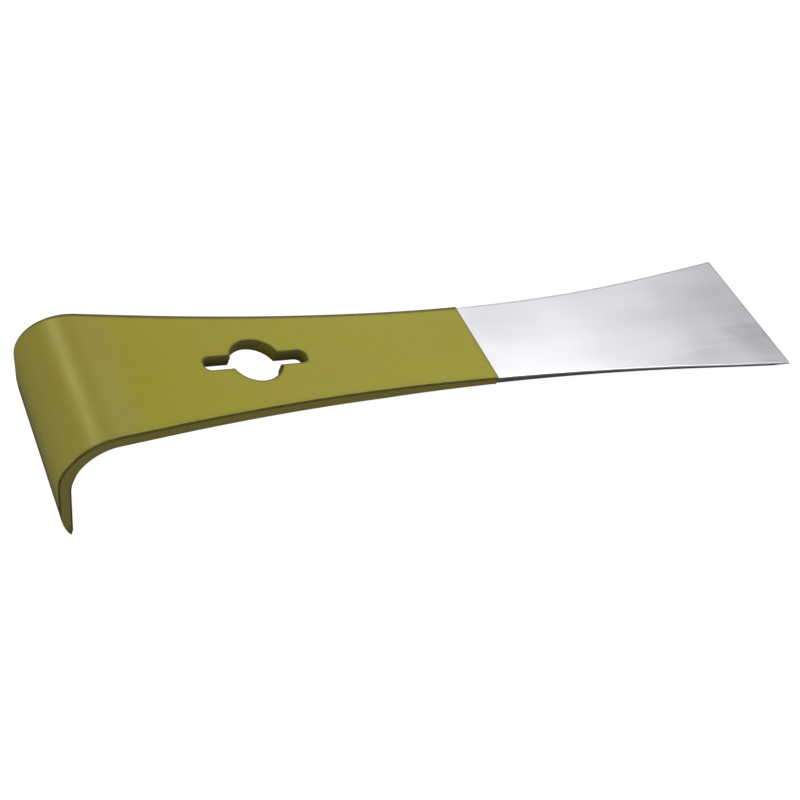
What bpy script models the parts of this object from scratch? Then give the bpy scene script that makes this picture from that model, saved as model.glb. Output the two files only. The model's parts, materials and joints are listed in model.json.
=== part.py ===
"""Flat pry bar: one steel strip with a wide blade at one end, a right-angle hook at the other
and a slotted nail hole, and the dipped paint coat over its hook and handle.

The bar is modelled flat in its own frame (X from the hook to the blade tip, Y across, Z up from
the top face) and its parent empty tips it onto the two edges that it rests on.
"""

import math

import bmesh
import bpy

MM = 0.001

# Planform
LENGTH = 254 * MM
WAIST_WIDTH = 30.1 * MM
WAIST_X = 114 * MM
HOOK_SIDE_RADIUS = 760 * MM
HOOK_FLARE = math.radians(6.6)
BLADE_SIDE_RADIUS = 840 * MM
BLADE_FLARE = math.radians(7.1)

# Thickness, which thins towards the blade and ends in a bevel under the tip
STOCK = 3.6 * MM
THINNING_X = 95 * MM
BLADE_STOCK = 1.3 * MM
TIP_BEVEL = 7 * MM
TIP_STOCK = 0.5 * MM
EDGE_RADIUS = 0.5 * MM
MOST_EDGE_SHARE = 0.45

# The blade's gentle upward sweep
SWEEP_X = 115 * MM
SWEEP_LIFT = 4.9 * MM

# Hook, drawn thinner where the bend runs out into its leg
BEND_RADIUS = 13.5 * MM
BEND_ANGLE = math.radians(101)
LEG_STOCK = 2.95 * MM
DRAWN_IN_BEND = 4.0 * MM
DRAWN_ON_LEG = 3.0 * MM
LEG = 22.6 * MM
HOOK_BEVEL = 12.0 * MM
HOOK_EDGE = 0.5 * MM
HOOK_BEVEL_CROWN = 0.7 * MM

# Nail hole with a slot on each side
HOLE_X = 58.6 * MM
HOLE_RADIUS = 7.55 * MM
SLOT_LENGTH = 31.2 * MM
SLOT_WIDTH = 4.6 * MM
SLOT_CORNER = 1.9 * MM
RIM_RADIUS = 0.5 * MM
RIM_CLEARANCE = 0.09 * MM

# Paint coat
PAINT_LINE_X = 134.2 * MM
COAT = 0.2 * MM
COAT_GAP = 0.05 * MM
COAT_SHORT_OF_TIP = 1.5 * MM
EDGE_BEAD = 0.07 * MM
BEAD_LENGTH = 1.6 * MM
LIP_ANGLE = math.radians(75)

# Fineness
BEND_STEPS = 30
CORNER_STEPS = 4
BEVEL_STEPS = 6
HOLE_STEPS = 56
RIM_ANGLES = [math.radians(angle) for angle in (0, 25, 50, 75)]
LIP_STEPS = 4
STATION_PITCH = 4 * MM
LEG_PITCH = 1 * MM
OVERCUT = 6 * MM
SHARP_ANGLE = math.radians(40)

# Derived
SWEEP_RUN = LENGTH - SWEEP_X
SWEEP_RADIUS = (SWEEP_RUN**2 + SWEEP_LIFT**2) / (2 * SWEEP_LIFT)
LEG_DIRECTION = (math.sin(BEND_ANGLE - math.pi / 2), -math.cos(BEND_ANGLE - math.pi / 2))
BEND_END = (BEND_RADIUS - BEND_RADIUS * math.sin(BEND_ANGLE), BEND_RADIUS * (math.cos(BEND_ANGLE) - 1))
LEG_NORMAL = (-math.sin(BEND_ANGLE), math.cos(BEND_ANGLE))


def clear_scene():
    for obj in list(bpy.data.objects):
        bpy.data.objects.remove(obj, do_unlink=True)


def paint_material():
    return principled("olive_paint", (0.33, 0.30, 0.055, 1), metallic=0.0, roughness=0.42)


def steel_material():
    return principled("polished_steel", (0.72, 0.73, 0.75, 1), metallic=1.0, roughness=0.28)


def principled(name, colour, metallic, roughness):
    material = bpy.data.materials.new(name)
    material.use_nodes = True
    shader = material.node_tree.nodes["Principled BSDF"]
    shader.inputs["Base Color"].default_value = colour
    shader.inputs["Metallic"].default_value = metallic
    shader.inputs["Roughness"].default_value = roughness
    material.diffuse_color = colour
    return material


def half_width(x):
    """Half the bar's width at x: an arc off each side of the waist, then a straight flare."""
    from_waist = abs(x - WAIST_X)
    radius = HOOK_SIDE_RADIUS if x < WAIST_X else BLADE_SIDE_RADIUS
    flare = HOOK_FLARE if x < WAIST_X else BLADE_FLARE
    on_arc = min(from_waist, radius * math.sin(flare))
    arc = radius - math.sqrt(radius**2 - on_arc**2)
    return WAIST_WIDTH / 2 + arc + math.tan(flare) * (from_waist - on_arc)


def thickness(x):
    """Steel thickness at x along the top face."""
    bevel_x = LENGTH - TIP_BEVEL
    if x <= THINNING_X:
        return STOCK
    if x <= bevel_x:
        left = (bevel_x - x) / (bevel_x - THINNING_X)
        return BLADE_STOCK + (STOCK - BLADE_STOCK) * left * left
    return BLADE_STOCK + (TIP_STOCK - BLADE_STOCK) * (x - bevel_x) / TIP_BEVEL


def hook_thickness(along):
    """Steel thickness at along past the end of the bend, measured on the outer face."""
    share = (along + DRAWN_IN_BEND) / (DRAWN_IN_BEND + DRAWN_ON_LEG)
    share = min(max(share, 0), 1)
    drawn = share * share * (3 - 2 * share)
    return STOCK + (LEG_STOCK - STOCK) * drawn


def sweep_height(x):
    """Height of the top face over the flat of the handle."""
    run = max(x - SWEEP_X, 0)
    return SWEEP_RADIUS - math.sqrt(SWEEP_RADIUS**2 - run**2)


def spaced(start, end, pitch=STATION_PITCH):
    """Evenly spaced values from start up to, but not including, end."""
    count = max(1, round(abs(end - start) / pitch))
    return [start + (end - start) * i / count for i in range(count)]


def stations(leg, end_x):
    """Places along the outer and top face, from the hook's end to end_x.

    Each is (x, z, normal x, normal z, steel thickness).
    """
    places = []
    for along in spaced(leg, 0, LEG_PITCH):
        x = BEND_END[0] + LEG_DIRECTION[0] * along
        z = BEND_END[1] + LEG_DIRECTION[1] * along
        places.append((x, z, *LEG_NORMAL, hook_thickness(along)))
    for step in range(BEND_STEPS):
        angle = BEND_ANGLE * (1 - step / BEND_STEPS)
        x = BEND_RADIUS - BEND_RADIUS * math.sin(angle)
        z = BEND_RADIUS * math.cos(angle) - BEND_RADIUS
        stock = hook_thickness(BEND_RADIUS * (angle - BEND_ANGLE))
        places.append((x, z, -math.sin(angle), math.cos(angle), stock))
    marks = sorted({BEND_RADIUS, THINNING_X, SWEEP_X, LENGTH - TIP_BEVEL, end_x})
    marks = [mark for mark in marks if mark <= end_x]
    for start, end in zip(marks, marks[1:]):
        for x in spaced(start, end):
            places.append(top_station(x))
    places.append(top_station(end_x))
    return places


def top_station(x):
    inside = min(x, LENGTH)
    angle = math.asin(max(inside - SWEEP_X, 0) / SWEEP_RADIUS)
    return (x, sweep_height(inside), -math.sin(angle), math.cos(angle), thickness(inside))


def section(station, offset):
    """A rounded rectangle across the bar at one station, grown by offset all round."""
    x, z, normal_x, normal_z, stock = station
    side = half_width(x) + offset
    radius = min(EDGE_RADIUS, MOST_EDGE_SHARE * stock) + offset
    top = offset
    bottom = -stock - offset
    corners = [
        (side - radius, top - radius, 0),
        (-side + radius, top - radius, 90),
        (-side + radius, bottom + radius, 180),
        (side - radius, bottom + radius, 270),
    ]
    ring = []
    for centre_y, centre_n, start in corners:
        for step in range(CORNER_STEPS + 1):
            angle = math.radians(start + 90 * step / CORNER_STEPS)
            y = centre_y + radius * math.cos(angle)
            n = centre_n + radius * math.sin(angle)
            ring.append((x + normal_x * n, y, z + normal_z * n))
    return ring


def object_from(name, bm, parent, material=None):
    """One mesh object, with its faces turned outwards."""
    bmesh.ops.recalc_face_normals(bm, faces=bm.faces)
    mesh = bpy.data.meshes.new(name)
    bm.to_mesh(mesh)
    bm.free()
    obj = bpy.data.objects.new(name, mesh)
    bpy.context.scene.collection.objects.link(obj)
    obj.parent = parent
    if material:
        mesh.materials.append(material)
    return obj


def tube(rings):
    """A closed body through rings of points, with a face across the first and the last."""
    bm = bmesh.new()
    rings = [[bm.verts.new(point) for point in ring] for ring in rings]
    for near, far in zip(rings, rings[1:]):
        for i in range(len(near)):
            j = (i + 1) % len(near)
            bm.faces.new((near[i], near[j], far[j], far[i]))
    bm.faces.new(rings[0])
    bm.faces.new(rings[-1])
    return bm


def loft(places, offset):
    """The bar's body between its first and last station, grown by offset."""
    return tube([section(place, offset) for place in places])


def nail_hole_outline(inset):
    """The round hole with its two slots, drawn in from the steel's edge by inset."""
    radius = HOLE_RADIUS - inset
    half_length = SLOT_LENGTH / 2 - inset
    half_slot = SLOT_WIDTH / 2 - inset
    corner = SLOT_CORNER - inset
    mouth = math.asin(half_slot / radius)
    quarter = []
    for step in range(CORNER_STEPS + 1):
        angle = math.pi / 2 * step / CORNER_STEPS
        x = half_length - corner + corner * math.cos(angle)
        y = half_slot - corner + corner * math.sin(angle)
        quarter.append((x, y))
    for step in range(HOLE_STEPS // 4 + 1):
        angle = mouth + (math.pi / 2 - mouth) * step / (HOLE_STEPS // 4)
        quarter.append((radius * math.cos(angle), radius * math.sin(angle)))
    half = quarter + [(-x, y) for x, y in reversed(quarter[:-1])]
    return [(HOLE_X + x, y) for x, y in half + [(-x, -y) for x, y in half]]


def rim_levels(offset):
    """(height over the steel's face, inset) down one rounded rim, for a surface that is offset
    outside the steel, from well above the face to the hole's wall."""
    radius = RIM_RADIUS + offset
    levels = []
    for angle in reversed(RIM_ANGLES):
        levels.append((radius * math.sin(angle) - RIM_RADIUS, radius * math.cos(angle) - RIM_RADIUS))
    height, inset = levels[0]
    rise = offset + RIM_CLEARANCE - height
    clear_inset = inset - rise * math.tan(RIM_ANGLES[-1])
    return [(OVERCUT, clear_inset), (height + rise, clear_inset)] + levels


def hole_cutter(name, offset, parent):
    """The nail hole's body with both rims rounded, drawn in by offset from the steel's wall."""
    upper = rim_levels(offset)
    lower = [(-STOCK - height, inset) for height, inset in reversed(upper)]
    rings = []
    for height, inset in upper + lower:
        rings.append([(x, y, height) for x, y in nail_hole_outline(inset)])
    return object_from(name, tube(rings), parent)


def hook_bevel_outline():
    """Side view of the metal ground off the hook: a crowned slope from its outer face to its edge."""
    outline = []
    for step in range(BEVEL_STEPS + 1):
        share = step / BEVEL_STEPS
        along = LEG - HOOK_BEVEL * (1 - share)
        crown = 4 * HOOK_BEVEL_CROWN * share * (1 - share)
        depth = (LEG_STOCK - HOOK_EDGE) * share - crown
        outline.append(on_leg(along, depth))
    slope = (LEG_STOCK - HOOK_EDGE) / HOOK_BEVEL
    beyond = OVERCUT * slope
    outline.append(on_leg(LEG + OVERCUT, LEG_STOCK - HOOK_EDGE + beyond))
    outline.append(on_leg(LEG + OVERCUT, -OVERCUT))
    outline.append(on_leg(LEG - HOOK_BEVEL - OVERCUT, -OVERCUT))
    outline.append(on_leg(LEG - HOOK_BEVEL - OVERCUT, -beyond - HOOK_BEVEL_CROWN))
    return outline


def on_leg(along, depth):
    """A point on the hook's leg: along it from the bend, and depth under its outer face."""
    x = BEND_END[0] + LEG_DIRECTION[0] * along - LEG_NORMAL[0] * depth
    z = BEND_END[1] + LEG_DIRECTION[1] * along - LEG_NORMAL[1] * depth
    return (x, z)


def cut(obj, name, cutter):
    modifier = obj.modifiers.new(name, "BOOLEAN")
    modifier.operation = "DIFFERENCE"
    modifier.solver = "EXACT"
    modifier.object = cutter
    cutter.hide_render = True
    cutter.display_type = "WIRE"


def shade_smooth(obj):
    obj.data.shade_smooth()
    obj.data.set_sharp_from_angle(angle=SHARP_ANGLE)


def steel_bar(parent, bevel_cutter):
    body = object_from("steel_bar", loft(stations(LEG, LENGTH), 0), parent, steel_material())
    shade_smooth(body)
    cut(body, "Hook bevel", bevel_cutter)
    cut(body, "Nail hole", hole_cutter("nail_hole_cutter", 0, parent))
    return body


def paint_edge():
    """(x, offset) where the coat swells into the bead of its dipped edge and rounds off at it."""
    offsets = []
    for step in range(1, LIP_STEPS + 1):
        share = step / LIP_STEPS
        x = PAINT_LINE_X - BEAD_LENGTH + (BEAD_LENGTH - COAT) * share
        swell = math.sin(math.pi / 2 * share) ** 2
        offsets.append((x, COAT_GAP + COAT + EDGE_BEAD * swell))
    for step in range(1, LIP_STEPS + 1):
        angle = LIP_ANGLE * step / LIP_STEPS
        x = PAINT_LINE_X - COAT + COAT * math.sin(angle)
        offsets.append((x, COAT_GAP + (COAT + EDGE_BEAD) * math.cos(angle)))
    return offsets


def paint_coat(parent, bevel_cutter):
    """A thin skin over the hook and handle that also lines the nail hole."""
    places = stations(LEG - COAT_SHORT_OF_TIP, PAINT_LINE_X - BEAD_LENGTH)
    rings = [section(place, COAT_GAP + COAT) for place in places]
    rings += [section(top_station(x), offset) for x, offset in paint_edge()]
    coat = object_from("paint_coat", tube(rings), parent, paint_material())
    shade_smooth(coat)
    core_places = stations(LEG + OVERCUT, PAINT_LINE_X + OVERCUT)
    core = object_from("coat_core", loft(core_places, COAT_GAP), parent)
    cut(core, "Leave the hole's lining", hole_cutter("lining_cutter", COAT_GAP, parent))
    cut(coat, "Hollow for the steel", core)
    cut(coat, "Hook bevel", bevel_cutter)
    cut(coat, "Nail hole", hole_cutter("painted_hole_cutter", COAT_GAP + COAT, parent))
    return coat


def place_at_rest(frame):
    """Tips the bar onto the hook's edge and the blade's edge, over the middle of its box."""
    hook_x, hook_z = on_leg(LEG, LEG_STOCK)
    tip = top_station(LENGTH)
    tip_x = tip[0] - tip[2] * TIP_STOCK
    tip_z = tip[1] - tip[3] * TIP_STOCK
    tilt = math.atan2(tip_z - hook_z, tip_x - hook_x)

    def turned(x, z):
        return (x * math.cos(tilt) + z * math.sin(tilt), z * math.cos(tilt) - x * math.sin(tilt))

    bend_centre_x = turned(BEND_RADIUS, -BEND_RADIUS)[0]
    lowest_x = bend_centre_x - BEND_RADIUS - COAT_GAP - COAT
    highest_x = turned(tip[0], tip[1])[0]
    frame.rotation_euler = (0, tilt, 0)
    frame.location = (-(lowest_x + highest_x) / 2, 0, -turned(hook_x, hook_z)[1])


def main():
    clear_scene()
    frame = bpy.data.objects.new("bar_frame", None)
    bpy.context.scene.collection.objects.link(frame)
    bevel_rings = [[(x, y, z) for x, z in hook_bevel_outline()] for y in (-WAIST_WIDTH, WAIST_WIDTH)]
    bevel_cutter = object_from("hook_bevel_cutter", tube(bevel_rings), frame)
    steel_bar(frame, bevel_cutter)
    paint_coat(frame, bevel_cutter)
    place_at_rest(frame)


main()
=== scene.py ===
"""Looks for the flat pry bar: finishes for its two CAD nodes, a plain pale stage, soft lights
and the camera. Everything is in metres, in the CAD frame."""

import json
import math

import bpy
from mathutils import Matrix, Vector


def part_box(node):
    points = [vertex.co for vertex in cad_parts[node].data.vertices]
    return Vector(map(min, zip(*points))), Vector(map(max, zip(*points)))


MM = 0.001


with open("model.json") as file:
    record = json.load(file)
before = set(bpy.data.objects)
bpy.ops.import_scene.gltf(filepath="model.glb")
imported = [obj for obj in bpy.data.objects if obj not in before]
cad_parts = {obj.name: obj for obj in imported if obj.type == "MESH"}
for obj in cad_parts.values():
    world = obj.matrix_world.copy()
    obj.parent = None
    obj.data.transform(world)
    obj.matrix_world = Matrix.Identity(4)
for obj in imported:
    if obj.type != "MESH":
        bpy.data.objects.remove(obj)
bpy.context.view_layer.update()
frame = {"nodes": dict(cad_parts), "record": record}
scene = bpy.context.scene
mounts = {mount["name"]: mount for mount in frame["record"]["mounts"]}

# Where the painted shade sits on the bar
HANDLE_UP = tuple(mounts["handle_top"]["axis"])
HANDLE_ALONG = (HANDLE_UP[2], 0, -HANDLE_UP[0])
openings = {one["name"]: one["box_m"] for one in frame["record"]["physics"]["openings"]}
HOLE_CENTRE = tuple((low + high) / 2 for low, high in zip(*openings["nail_hole"]))
TIP_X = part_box("steel_bar")[1][0]
COAT_END_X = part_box("paint_coat")[1][0]
BEND_END_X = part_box("steel_bar")[0][0] + 18 * MM
BEVEL_TOP = 12.7 * MM

# The outline: arcs on each side of the waist, and the blade's sides end straight
WAIST_X = -11.9 * MM
WAIST_HALF = 15.05 * MM
SIDE_RADIUS = 760 * MM
BLADE_RADIUS = 840 * MM
BLADE_END_ANGLE = math.radians(7.1)
BLADE_ARC = BLADE_RADIUS * math.sin(BLADE_END_ANGLE)
BLADE_FLARE = math.tan(BLADE_END_ANGLE)
BESIDE_HOLE = 11 * MM

# Lines and spans of painted shade, and the hook's greying, as (where it starts, where it is full)
HOLE_LINE = (8.4 * MM, 8.0 * MM)
SLOT_CORE_LENGTH = 27.4 * MM
SLOT_CORE_WIDTH = 0.8 * MM
SLOT_LINE = (2.7 * MM, 2.3 * MM)
PAINT_OUTLINE = (1.5 * MM, 0.8 * MM)
BLADE_OUTLINE = (1.1 * MM, 0.7 * MM)
FAR_HALF = (-1 * MM, 1 * MM)
BEVEL_LINE = (BEVEL_TOP + 1.7 * MM, BEVEL_TOP + 1.2 * MM)
LEG_SHADE = (20.0 * MM, 13.5 * MM)
HOOK_END_SHADE_SPAN = (5.0 * MM, 1.0 * MM)
COAT_END_LINE = (COAT_END_X - 1.0 * MM, COAT_END_X - 0.5 * MM)
TIP_LINE = (TIP_X - 0.7 * MM, TIP_X - 0.3 * MM)
GREYED_HOOK = (BEND_END_X + 8 * MM, BEND_END_X)
BARE_HOOK = (BEND_END_X, BEND_END_X - 2 * MM)

# How strong each mark of painted shade, and the hook's greying, is, from 0 to 1
LEAST_OUTLINE_SHADE = 0.15
LEG_SHADE_SHARE = 0.5
HOOK_END_SHARE = 0.8
COAT_END_SHARE = 0.45
HOLE_SHARE = 0.6
SIDE_SHADE_SHARE = 0.8
HOOK_GREY_SHARE = 0.3
BLADE_OUTLINE_SHARE = 0.5
TIP_SHARE = 0.6
STEEL_SHADE_SHARE = 0.85
BARE_HOOK_SHADE_SHARE = 0.6

OLIVE = (0.315, 0.292, 0.014, 1)
WARM_OLIVE = (0.325, 0.275, 0.016, 1)
DULL_OLIVE = (0.290, 0.260, 0.014, 1)
GREYED_OLIVE = (0.290, 0.250, 0.120, 1)
# Painted shade on the enamel's long sides
SHADED_SIDE_BROWN = (0.250, 0.200, 0.060, 1)
# Painted shade, mixed into the enamel along its edges, rims and ends
PAINTED_SHADE_COLOUR = (0.045, 0.038, 0.010, 1)
PAINT_TINT = (0.95, 0.92, 0.40, 1)
PAINT_IOR = 1.5
STEEL = (0.768, 0.766, 0.80, 1)
BRIGHT_STEEL = (0.798, 0.796, 0.83, 1)
# Painted shade on the steel's long sides, tip and +Y edge
SHADED_SIDE_STEEL = (0.26, 0.26, 0.28, 1)
# Painted shade on the hook's bare ground end
SHADED_BARE_HOOK_STEEL = (0.14, 0.14, 0.13, 1)


# ---------------------------------------------------------------- node helpers
class Tree:
    """Adds nodes to one material's tree and links them."""

    def __init__(self, tree):
        self.tree = tree
        self.nodes = tree.nodes
        self.count = 0

    def add(self, kind, settings=None, **inputs):
        """A node with its settings; an input is a value or another node's output socket."""
        node = self.nodes.new(kind)
        node.location = (200 * (self.count % 12), -260 * (self.count // 12))
        self.count += 1
        for key, value in (settings or {}).items():
            setattr(node, key, value)
        for key, value in inputs.items():
            name = key.replace("_", " ")
            socket = node.inputs[int(key[1:])] if key[1:].isdigit() else node.inputs[name]
            self.feed(socket, value)
        return node

    def feed(self, socket, value):
        if isinstance(value, bpy.types.NodeSocket):
            self.tree.links.new(value, socket)
        else:
            socket.default_value = value

    def maths(self, operation, first, second=0.0):
        return self.add("ShaderNodeMath", {"operation": operation}, i0=first, i1=second).outputs[0]

    def scaled(self, vector, scale):
        settings = {"operation": "MULTIPLY"}
        return self.add("ShaderNodeVectorMath", settings, i0=vector, i1=scale).outputs[0]

    def noise(self, vector, scale, detail=2.0, roughness=0.5):
        settings = {"noise_dimensions": "3D"}
        inputs = {"Vector": vector, "Scale": scale, "Detail": detail, "Roughness": roughness}
        return self.add("ShaderNodeTexNoise", settings, **inputs).outputs["Fac"]

    def ranged(self, value, low, high, to_low=0.0, to_high=1.0):
        """value taken from low..high to to_low..to_high, and held at its ends beyond."""
        inputs = {"i0": value, "i1": low, "i2": high, "i3": to_low, "i4": to_high}
        return self.add("ShaderNodeMapRange", {"clamp": True}, **inputs).outputs[0]

    def mixed(self, share, first, second):
        """first, with this share of second; each is a socket or a colour."""
        node = self.add("ShaderNodeMix", {"data_type": "RGBA"})
        self.feed(node.inputs["Factor"], share)
        self.feed(node.inputs[6], first)
        self.feed(node.inputs[7], second)
        return node.outputs[2]

    def bump(self, height, strength, distance, normal=None):
        node = self.add("ShaderNodeBump", {}, Height=height, Strength=strength, Distance=distance)
        if normal:
            self.feed(node.inputs["Normal"], normal)
        return node.outputs["Normal"]

    def split(self, vector):
        """The X, Y and Z sockets of a vector."""
        return self.add("ShaderNodeSeparateXYZ", {}, Vector=vector).outputs

    def normal(self):
        return self.add("ShaderNodeNewGeometry").outputs["Normal"]

    def both(self, first, second):
        return self.maths("MULTIPLY", first, second)

    def either(self, first, second):
        return self.maths("MAXIMUM", first, second)

    def less(self, first, second):
        return self.maths("SUBTRACT", first, second)

    def absolute(self, value):
        return self.maths("ABSOLUTE", value)

    def length(self, first, second):
        """The length of a flat vector with these two parts."""
        squares = self.maths("ADD", self.both(first, first), self.both(second, second))
        return self.maths("SQRT", squares)

    def dot(self, first, second):
        settings = {"operation": "DOT_PRODUCT"}
        return self.add("ShaderNodeVectorMath", settings, i0=first, i1=second).outputs["Value"]

    def place(self):
        """Where the shaded point is, in the CAD frame."""
        return self.add("ShaderNodeTexCoord").outputs["Object"]


def principled(name):
    material = bpy.data.materials.new(name)
    material.use_nodes = True
    return material, Tree(material.node_tree), material.node_tree.nodes["Principled BSDF"]


# ---------------------------------------------------------------- paint
def hole_rim(tree, place):
    """Painted shade: 1 on the walls of the nail hole and its slots, and on a thin line round them.
    """
    settings = {"operation": "SUBTRACT"}
    from_centre = tree.add("ShaderNodeVectorMath", settings, i0=place, i1=HOLE_CENTRE).outputs[0]
    along = tree.dot(from_centre, HANDLE_ALONG)
    across = tree.split(place)["Y"]
    circle = tree.ranged(tree.length(along, across), *HOLE_LINE)
    past_end = tree.either(tree.less(tree.absolute(along), SLOT_CORE_LENGTH / 2), 0.0)
    past_side = tree.either(tree.less(tree.absolute(across), SLOT_CORE_WIDTH / 2), 0.0)
    slot = tree.ranged(tree.length(past_end, past_side), *SLOT_LINE)
    return tree.either(circle, slot)


def rounded_edges(tree, place):
    """Painted shade: 1 on the rounded edges between the flat faces and the long sides or the
    hole's walls.
    """
    normal = tree.normal()
    across = tree.absolute(tree.split(normal)["Y"])
    long_edges = tree.both(tree.ranged(across, 0.15, 0.45), tree.ranged(across, 0.995, 0.94))
    beside = tree.absolute(tree.split(place)["Y"])
    long_edges = tree.both(long_edges, tree.ranged(beside, BESIDE_HOLE, BESIDE_HOLE + 1 * MM))
    level = tree.absolute(tree.dot(normal, HANDLE_UP))
    rims = tree.both(tree.ranged(level, 0.985, 0.90), tree.ranged(level, 0.10, 0.35))
    past_bend = tree.ranged(tree.split(place)["X"], BEND_END_X, BEND_END_X + 2 * MM)
    return tree.either(long_edges, tree.both(rims, past_bend))


def from_waist(tree, place):
    """How far along the bar from its waist, how far across, and that without its sign."""
    along, across, _ = tree.split(place)
    along = tree.maths("MULTIPLY", tree.less(along, WAIST_X), 1 / HANDLE_UP[2])
    return along, across, tree.absolute(across)


def outline_shade(tree, place):
    """Painted shade: a thin dark line just inside the enamelled long sides, heavier along the +Y
    one.
    """
    along, across, beside = from_waist(tree, place)
    from_middle = tree.less(beside, WAIST_HALF + SIDE_RADIUS)
    depth = tree.less(tree.length(along, from_middle), SIDE_RADIUS)
    line = tree.ranged(depth, *PAINT_OUTLINE)
    heavier = tree.ranged(across, *FAR_HALF, LEAST_OUTLINE_SHADE, 1.0)
    flat = tree.ranged(tree.absolute(tree.split(tree.normal())["Y"]), 0.8, 0.5)
    return tree.both(tree.both(line, heavier), flat)


def blade_rim(tree, place):
    """Painted shade: a thin line just inside the blade's +Y long side, an arc that ends in a
    straight line.
    """
    along, across, beside = from_waist(tree, place)
    on_arc = tree.maths("MINIMUM", along, BLADE_ARC)
    square = tree.less(BLADE_RADIUS**2, tree.both(on_arc, on_arc))
    bow = tree.less(BLADE_RADIUS + WAIST_HALF, tree.maths("SQRT", square))
    straight = tree.both(tree.less(along, on_arc), BLADE_FLARE)
    depth = tree.less(tree.maths("ADD", bow, straight), beside)
    line = tree.ranged(depth, *BLADE_OUTLINE)
    return tree.both(line, tree.ranged(across, *FAR_HALF, 0.0, BLADE_OUTLINE_SHARE))


def hook_end_shade(tree, place):
    """Painted shade: darkening towards the hook's ground end, and along the line where its bevel
    starts.
    """
    height = tree.split(place)["Z"]
    outwards = tree.maths("MULTIPLY", tree.split(tree.normal())["X"], -1.0)
    leg_shade_mask = tree.ranged(height, *LEG_SHADE, 0.0, LEG_SHADE_SHARE)
    outer_face = tree.either(tree.ranged(height, *BEVEL_LINE), leg_shade_mask)
    outer_face = tree.both(outer_face, tree.ranged(outwards, 0.4, 0.8))
    return tree.either(tree.ranged(height, *HOOK_END_SHADE_SPAN, 0.0, HOOK_END_SHARE), outer_face)


def paint_shade_mask(tree, place):
    """How much painted shade darkens the paint, from 0 to 1: on its edges, rims and ends."""
    painted_shade = tree.either(rounded_edges(tree, place), outline_shade(tree, place))
    painted_shade = tree.either(painted_shade, hook_end_shade(tree, place))
    # Painted shade along the end of the enamel, by the blade
    coat_end = tree.ranged(tree.split(place)["X"], *COAT_END_LINE, 0.0, COAT_END_SHARE)
    painted_shade = tree.either(painted_shade, coat_end)
    return tree.either(painted_shade, tree.both(hole_rim(tree, place), HOLE_SHARE))


def paint_finish():
    """Dipped semi-gloss olive enamel: slow colour drift, mottle and orange peel, greyer on the
    hook, browner and darker on the long sides as painted shade, and darkened by painted shade
    along its edges, rims and ends."""
    material, tree, shader = principled("olive_enamel")
    place = tree.place()
    millimetres = tree.scaled(place, (1 / MM,) * 3)
    drift = tree.noise(millimetres, 0.035, 2.0)
    mottle = tree.noise(millimetres, 0.45, 3.0)
    colour = tree.mixed(tree.ranged(drift, 0.38, 0.62), OLIVE, WARM_OLIVE)
    colour = tree.mixed(tree.ranged(mottle, 0.3, 0.7, 0, 0.5), colour, DULL_OLIVE)
    hook = tree.ranged(tree.split(place)["X"], *GREYED_HOOK, 0.0, HOOK_GREY_SHARE)
    colour = tree.mixed(hook, colour, GREYED_OLIVE)
    # Painted shade: the long sides turn browner and darker
    side = tree.absolute(tree.split(tree.normal())["Y"])
    colour = tree.mixed(tree.ranged(side, 0.80, 0.95, 0.0, SIDE_SHADE_SHARE), colour, SHADED_SIDE_BROWN)
    painted_shade = paint_shade_mask(tree, place)
    patchy = tree.ranged(tree.noise(millimetres, 0.30, 4.0, 0.6), 0.35, 0.65, 0.80, 0.95)
    # Painted shade darkens the enamel here, in patches of varying strength
    colour = tree.mixed(tree.both(painted_shade, patchy), colour, PAINTED_SHADE_COLOUR)
    tree.feed(shader.inputs["Base Color"], colour)
    smear = tree.ranged(tree.noise(millimetres, 0.08, 4.0, 0.6), 0.3, 0.7, 0.34, 0.42)
    tree.feed(shader.inputs["Roughness"], tree.maths("ADD", smear, tree.both(painted_shade, 0.12)))
    shader.inputs["IOR"].default_value = PAINT_IOR
    shader.inputs["Specular Tint"].default_value = PAINT_TINT
    peel = tree.noise(millimetres, 0.55, 2.0)
    grain = tree.noise(millimetres, 3.0, 2.0)
    normal = tree.bump(grain, 0.25, 0.01 * MM)
    normal = tree.bump(peel, 0.5, 0.03 * MM, normal)
    tree.feed(shader.inputs["Normal"], normal)
    return material


# ---------------------------------------------------------------- steel
# Below 0.274 the denoiser treats the steel as a mirror, and a change across that value shows.
LEAST_STEEL_ROUGHNESS = 0.28


def lengthwise(tree, place, along, across, detail_roughness):
    """Noise drawn out along the bar, with its frequencies per millimetre."""
    stretched = tree.scaled(place, (along / MM, across / MM, along / MM))
    return tree.noise(stretched, 1.0, 1.0, detail_roughness)


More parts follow.
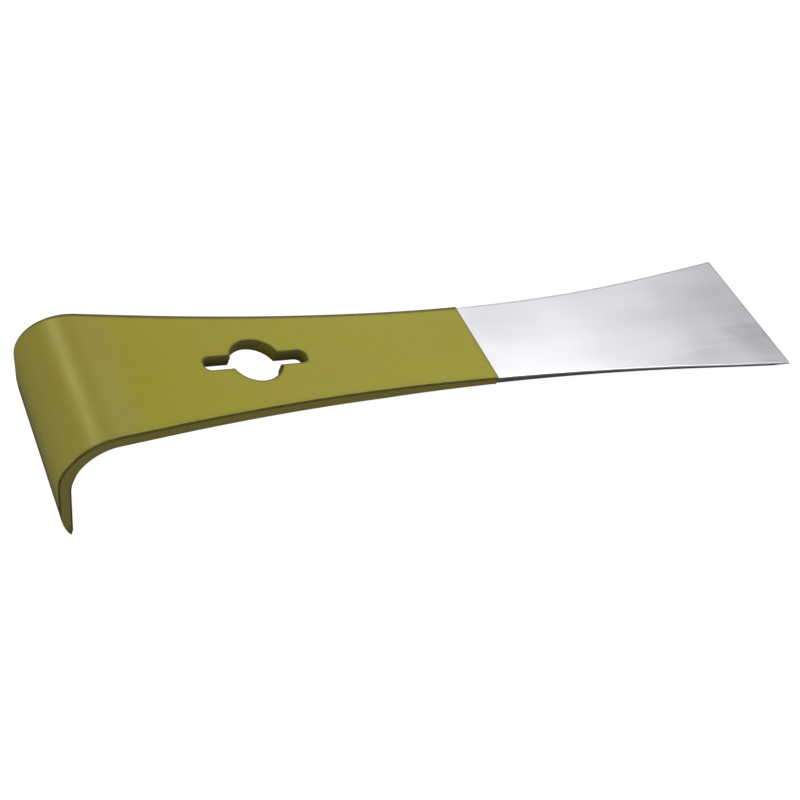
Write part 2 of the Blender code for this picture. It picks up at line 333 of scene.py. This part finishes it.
def steel_finish():
    """Ground and polished spring steel: faint lengthwise lines and smears on its faces, with
    its long sides rougher, as sheared, and darkened by painted shade, a line of painted shade
    along the blade's tip and one along its +Y side, and painted shade darkening the hook's
    ground end."""
    material, tree, shader = principled("ground_steel")
    place = tree.place()
    millimetres = tree.scaled(place, (1 / MM,) * 3)
    lines = lengthwise(tree, place, 0.010, 0.55, 0.5)
    bands = lengthwise(tree, place, 0.008, 0.12, 0.5)
    smear = tree.noise(millimetres, 0.04, 3.0, 0.55)
    colour = tree.mixed(tree.ranged(bands, 0.3, 0.7), STEEL, BRIGHT_STEEL)
    # Painted shade and reflection: the -Y faces and the +Y rounded edges darkened
    across = tree.split(tree.normal())["Y"]
    side = tree.either(tree.ranged(across, -0.55, -0.95), tree.ranged(across, 0.10, 0.45))
    along = tree.split(place)["X"]
    # Painted shade along the blade's tip
    tip = tree.ranged(along, *TIP_LINE, 0.0, TIP_SHARE)
    dark = tree.either(tree.either(side, tip), blade_rim(tree, place))
    colour = tree.mixed(tree.both(dark, STEEL_SHADE_SHARE), colour, SHADED_SIDE_STEEL)
    # Painted shade darkens the bare steel at the hook's ground end
    hook = tree.ranged(along, *BARE_HOOK)
    colour = tree.mixed(tree.both(hook, BARE_HOOK_SHADE_SHARE), colour, SHADED_BARE_HOOK_STEEL)
    tree.feed(shader.inputs["Base Color"], colour)
    shader.inputs["Metallic"].default_value = 1.0
    rough = tree.ranged(lines, 0.3, 0.7, LEAST_STEEL_ROUGHNESS, LEAST_STEEL_ROUGHNESS + 0.02)
    rough = tree.maths("ADD", rough, tree.ranged(smear, 0.35, 0.65, 0.0, 0.03))
    rough = tree.maths("ADD", rough, tree.both(tree.either(side, hook), 0.15))
    tree.feed(shader.inputs["Roughness"], rough)
    normal = tree.bump(tree.noise(millimetres, 2.5, 2.0), 0.15, 0.01 * MM)
    tree.feed(shader.inputs["Normal"], normal)
    return material


# ---------------------------------------------------------------- the two nodes
SHARP_ANGLE = math.radians(35)
JOIN_WITHIN = 0.002 * MM


def smooth_shading(obj):
    """Joins the imported triangles at their corners, for display only, and shades them smooth
    up to SHARP_ANGLE, with the large faces kept flat."""
    group = bpy.data.node_groups.new("smooth_shading", "GeometryNodeTree")
    group.interface.new_socket("Geometry", in_out="INPUT", socket_type="NodeSocketGeometry")
    group.interface.new_socket("Geometry", in_out="OUTPUT", socket_type="NodeSocketGeometry")
    tree = Tree(group)
    start = tree.add("NodeGroupInput").outputs[0]
    joined = tree.add("GeometryNodeMergeByDistance", {}, Geometry=start, Distance=JOIN_WITHIN)
    joined = joined.outputs[0]
    plain = tree.add("GeometryNodeRemoveAttribute", {}, Geometry=joined, Name="custom_normal")
    plain = plain.outputs[0]
    smooth = tree.add("GeometryNodeSetShadeSmooth", {"domain": "FACE"}, Geometry=plain)
    smooth.inputs["Shade Smooth"].default_value = True
    angle = tree.add("GeometryNodeInputMeshEdgeAngle").outputs["Unsigned Angle"]
    sharp = tree.maths("GREATER_THAN", angle, SHARP_ANGLE)
    smooth = smooth.outputs[0]
    creased = tree.add("GeometryNodeSetShadeSmooth", {"domain": "EDGE"}, Geometry=smooth)
    tree.feed(creased.inputs["Selection"], sharp)
    creased.inputs["Shade Smooth"].default_value = False
    end = tree.add("NodeGroupOutput")
    tree.feed(end.inputs[0], creased.outputs[0])
    obj.modifiers.new("Smooth shading", "NODES").node_group = group
    weighted = obj.modifiers.new("Flat faces stay flat", "WEIGHTED_NORMAL")
    weighted.mode = "FACE_AREA"
    weighted.weight = 50
    weighted.keep_sharp = True


def finish_node(name, material):
    obj = frame["nodes"][name]
    obj.material_slots[0].material = material
    smooth_shading(obj)


finish_node("paint_coat", paint_finish())
finish_node("steel_bar", steel_finish())

# ---------------------------------------------------------------- stage
STAGE_RADIUS = 1.6
STAGE_HEIGHT = 2.2
STAGE_FILLET = 0.7
STAGE_FLAT_RADIUS = 0.3
STAGE_STEPS = 12
STAGE_SIDES = 96
STAGE_GLOW = 0.96
STAGE_ALBEDO = 0.12
FLOOR_DROP = 0.02 * MM


def stage_profile():
    """(radius, height) from the middle of the floor, up the wall and over to the axis."""
    quarter = [math.pi / 2 * step / STAGE_STEPS for step in range(STAGE_STEPS + 1)]
    profile = [(0.0, 0.0), (STAGE_FLAT_RADIUS, 0.0)]
    for angle in quarter:
        radius = STAGE_RADIUS - STAGE_FILLET * (1 - math.sin(angle))
        profile.append((radius, STAGE_FILLET * (1 - math.cos(angle))))
    for angle in quarter:
        height = STAGE_FILLET + (STAGE_HEIGHT - STAGE_FILLET) * math.sin(angle)
        profile.append((STAGE_RADIUS * math.cos(angle), height))
    return profile


def stage_material():
    material, tree, shader = principled("pale_stage")
    shader.inputs["Base Color"].default_value = (STAGE_ALBEDO,) * 3 + (1,)
    shader.inputs["Roughness"].default_value = 0.9
    shader.inputs["Specular IOR Level"].default_value = 0.0
    shader.inputs["Emission Color"].default_value = (1, 1, 1, 1)
    shader.inputs["Emission Strength"].default_value = STAGE_GLOW
    return material


def build_stage():
    """A pale floor that curves up into a wall and ceiling, with no corner. It gives the object
    no light of its own."""
    points = []
    faces = []
    profile = stage_profile()
    for radius, height in profile:
        for side in range(STAGE_SIDES):
            angle = 2 * math.pi * side / STAGE_SIDES
            x = radius * math.cos(angle)
            y = radius * math.sin(angle)
            points.append((x, y, height - FLOOR_DROP))
    for level in range(len(profile) - 1):
        lower = level * STAGE_SIDES
        upper = lower + STAGE_SIDES
        for side in range(STAGE_SIDES):
            after = (side + 1) % STAGE_SIDES
            faces.append((lower + side, lower + after, upper + after, upper + side))
    mesh = bpy.data.meshes.new("stage")
    mesh.from_pydata(points, [], faces)
    mesh.shade_smooth()
    mesh.materials.append(stage_material())
    stage = bpy.data.objects.new("stage", mesh)
    scene.collection.objects.link(stage)
    for kind in ("diffuse", "glossy", "transmission", "shadow"):
        setattr(stage, "visible_" + kind, False)


build_stage()

# ---------------------------------------------------------------- lights
# name: (azimuth from +Y towards +X, elevation, distance, width, height, power)
SOFTBOXES = {
    "hook_face": (-90, 12, 0.85, 0.50, 0.35, 2.5),
    "bend_glint": (-32, 43, 0.85, 0.16, 0.22, 1.2),
    "overhead": (60, 62, 0.85, 0.35, 0.35, 2.0),
    "back_low": (28, 20, 0.85, 0.42, 0.16, 1.3),
    "blade_low": (50, 20, 0.85, 0.25, 0.16, 0.16),
    "right": (76, 46, 0.85, 0.45, 0.22, 2.0),
    "front": (180, 18, 0.85, 0.50, 0.55, 1.9),
    "front_right": (135, 25, 0.85, 0.50, 0.40, 0.4),
    "front_left": (-135, 25, 0.85, 0.50, 0.40, 0.5),
}
AMBIENT = 0.09


def softbox(name, azimuth, elevation, distance, width, height, power):
    """A soft box that faces the origin."""
    light = bpy.data.lights.new(name, "AREA")
    light.shape = "RECTANGLE"
    light.size = width
    light.size_y = height
    light.energy = power
    obj = bpy.data.objects.new(name, light)
    scene.collection.objects.link(obj)
    azimuth = math.radians(azimuth)
    elevation = math.radians(elevation)
    flat = math.cos(elevation)
    towards = (math.sin(azimuth) * flat, math.cos(azimuth) * flat, math.sin(elevation))
    towards = Vector(towards)
    obj.location = towards * distance
    obj.rotation_mode = "QUATERNION"
    obj.rotation_quaternion = towards.to_track_quat("Z", "Y")
    obj.visible_camera = False


for box_name, box_values in SOFTBOXES.items():
    softbox(box_name, *box_values)

world = bpy.data.worlds.new("studio")
world.use_nodes = True
background = world.node_tree.nodes["Background"]
background.inputs["Color"].default_value = (1, 1, 1, 1)
background.inputs["Strength"].default_value = AMBIENT
scene.world = world

# ---------------------------------------------------------------- camera
LENS = 52.4
SENSOR = 36.0
CLIP_START = 0.01
CLIP_END = 20
AIM = Vector((-13.3, 0.7, -6.7)) * MM
AIM_DISTANCE = 371 * MM
HEADING = math.radians(38.3)
LOOK_DOWN = math.radians(48.4)
ROLL = math.radians(17.7)


def build_camera():
    """Looks at AIM from AIM_DISTANCE away, heading HEADING to the right of +Y."""
    camera = bpy.data.cameras.new("camera")
    camera.lens = LENS
    camera.sensor_width = SENSOR
    camera.clip_start = CLIP_START
    camera.clip_end = CLIP_END
    obj = bpy.data.objects.new("camera", camera)
    scene.collection.objects.link(obj)
    turn = Matrix.Rotation(-HEADING, 4, "Z") @ Matrix.Rotation(math.pi / 2 - LOOK_DOWN, 4, "X")
    turn = turn @ Matrix.Rotation(ROLL, 4, "Z")
    forward = turn.to_3x3() @ Vector((0, 0, -1))
    obj.matrix_world = Matrix.Translation(AIM - forward * AIM_DISTANCE) @ turn
    scene.camera = obj


build_camera()
scene.view_settings.view_transform = "Standard"
scene.view_settings.look = "None"
